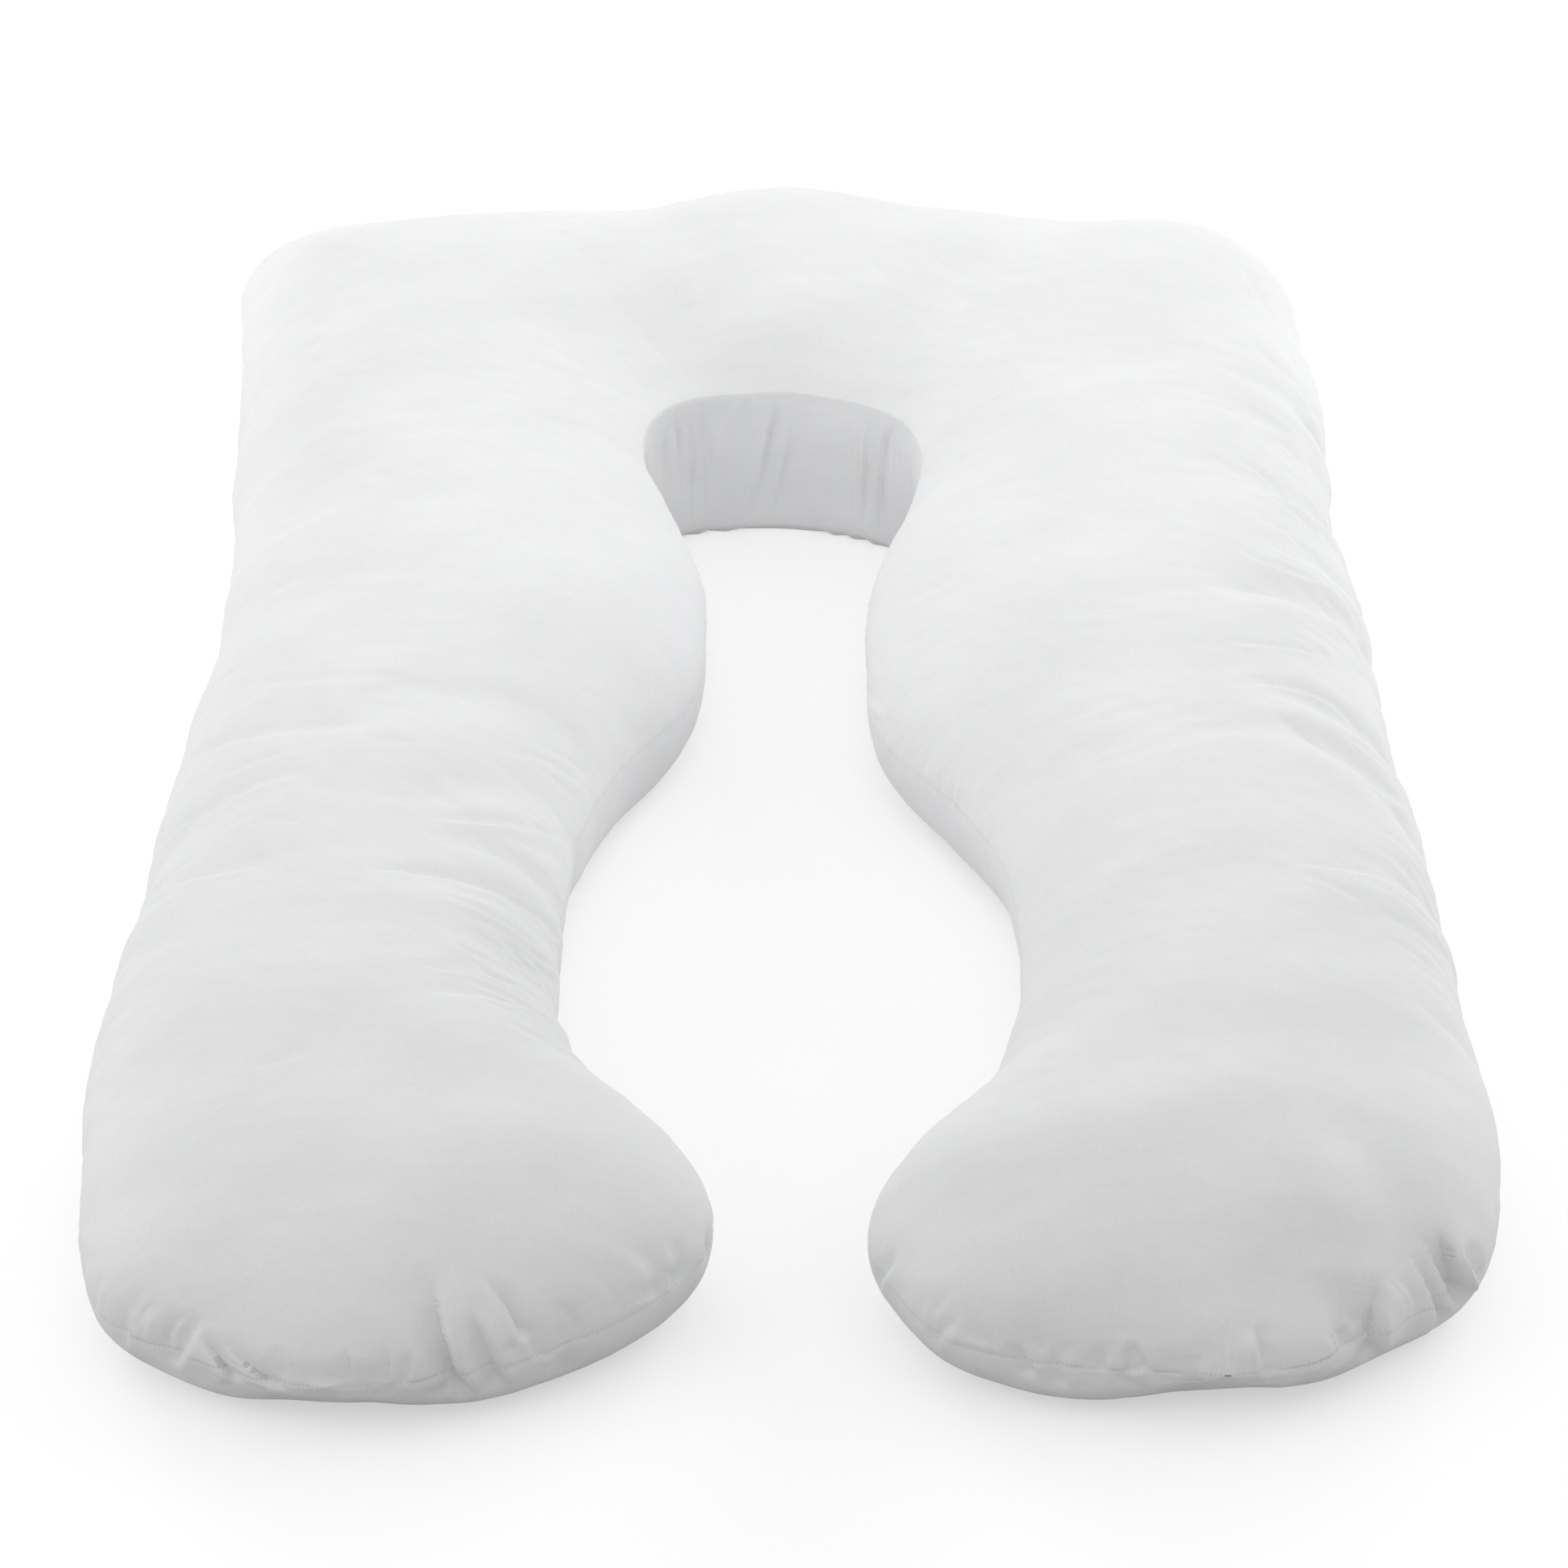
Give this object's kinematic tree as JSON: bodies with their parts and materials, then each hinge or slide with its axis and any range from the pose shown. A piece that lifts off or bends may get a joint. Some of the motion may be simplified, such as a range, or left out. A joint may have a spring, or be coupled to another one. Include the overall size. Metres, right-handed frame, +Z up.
{
  "type": "body pillow",
  "caption": "U-shaped full-body pillow: a crowned, filled bar with two long contoured legs that flare at the feet, an arched neck opening with an upright wall, and a white woven cover.",
  "frame": {"origin": "middle of the pillow's box, on the floor it lies on", "axes": "+X across the legs, to the right seen from the feet; +Y from the feet to the bar; +Z up"},
  "size_m": [0.9898, 1.5183, 0.202],
  "materials": {
    "cover": "matt plain-woven cotton"
  },
  "bodies": {
    "root": {"pillow": "cover"}
  },
  "joints": []
}
